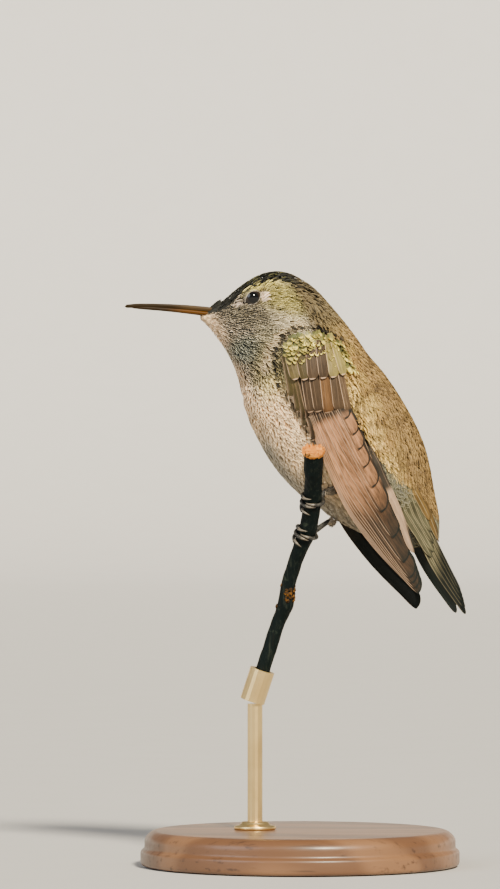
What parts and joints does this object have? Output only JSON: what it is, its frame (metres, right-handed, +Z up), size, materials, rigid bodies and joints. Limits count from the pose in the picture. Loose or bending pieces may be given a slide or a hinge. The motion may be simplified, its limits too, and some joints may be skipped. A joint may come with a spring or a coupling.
{
  "type": "hummingbird",
  "caption": "Life-size still model of a hummingbird with a slender straight bill, perched upright on a leaning cut stem that a small round display stand holds up.",
  "frame": {"origin": "centre of the display base's underside, on the surface it stands on", "axes": "+Z up; the bill points to -X, turned a little towards -Y; the bird's left side faces -Y"},
  "size_m": [0.0678, 0.064, 0.1189],
  "materials": {
    "crown_feathers": "small dark scale-like feathers edged in yellow-green, softly glossy",
    "throat_feathers": "small grey feathers with dark centres and whitish fringes",
    "body_feathers": "soft feathers, golden olive above and pinkish buff with brown-grey mottling below",
    "rump_feathers": "bronze-gold feathers with an orange sheen",
    "wing_covert_feathers": "scaly yellow-green lesser coverts and grey-brown larger coverts",
    "flight_feathers": "smooth rufous-brown vanes with pale shafts and edges",
    "tail_feathers": "grey-green vanes with cream edges and a dark blue-green band near the end",
    "bill_upper_horn": "smooth dark brown-black horn",
    "bill_lower_horn": "smooth amber horn, dark towards the tip",
    "eye": "wet, glossy near-black eye",
    "leg_skin": "dark scaled skin with pale claws",
    "stem_bark": "near-black bark with paler ridges and a tuft of orange lichen",
    "broken_wood": "rough orange broken wood",
    "brass": "satin brass",
    "walnut": "satin dark walnut"
  },
  "bodies": {
    "root": {"head": "crown_feathers", "neck": "throat_feathers", "trunk": "body_feathers", "rump": "rump_feathers", "bill_upper": "bill_upper_horn", "bill_lower": "bill_lower_horn", "eye_left": "eye", "wing_left_coverts": "wing_covert_feathers", "wing_left_primaries": "flight_feathers", "wing_left_secondaries": "flight_feathers", "tail_left": "tail_feathers", "thigh_left": "body_feathers", "foot_left": "leg_skin", "eye_right": "eye", "wing_right_coverts": "wing_covert_feathers", "wing_right_primaries": "flight_feathers", "wing_right_secondaries": "flight_feathers", "tail_right": "tail_feathers", "thigh_right": "body_feathers", "foot_right": "leg_skin", "perch_stem": "stem_bark", "perch_broken_end": "broken_wood", "stand_rod": "brass", "stand_collar": "brass", "stand_base": "walnut"}
  },
  "joints": []
}
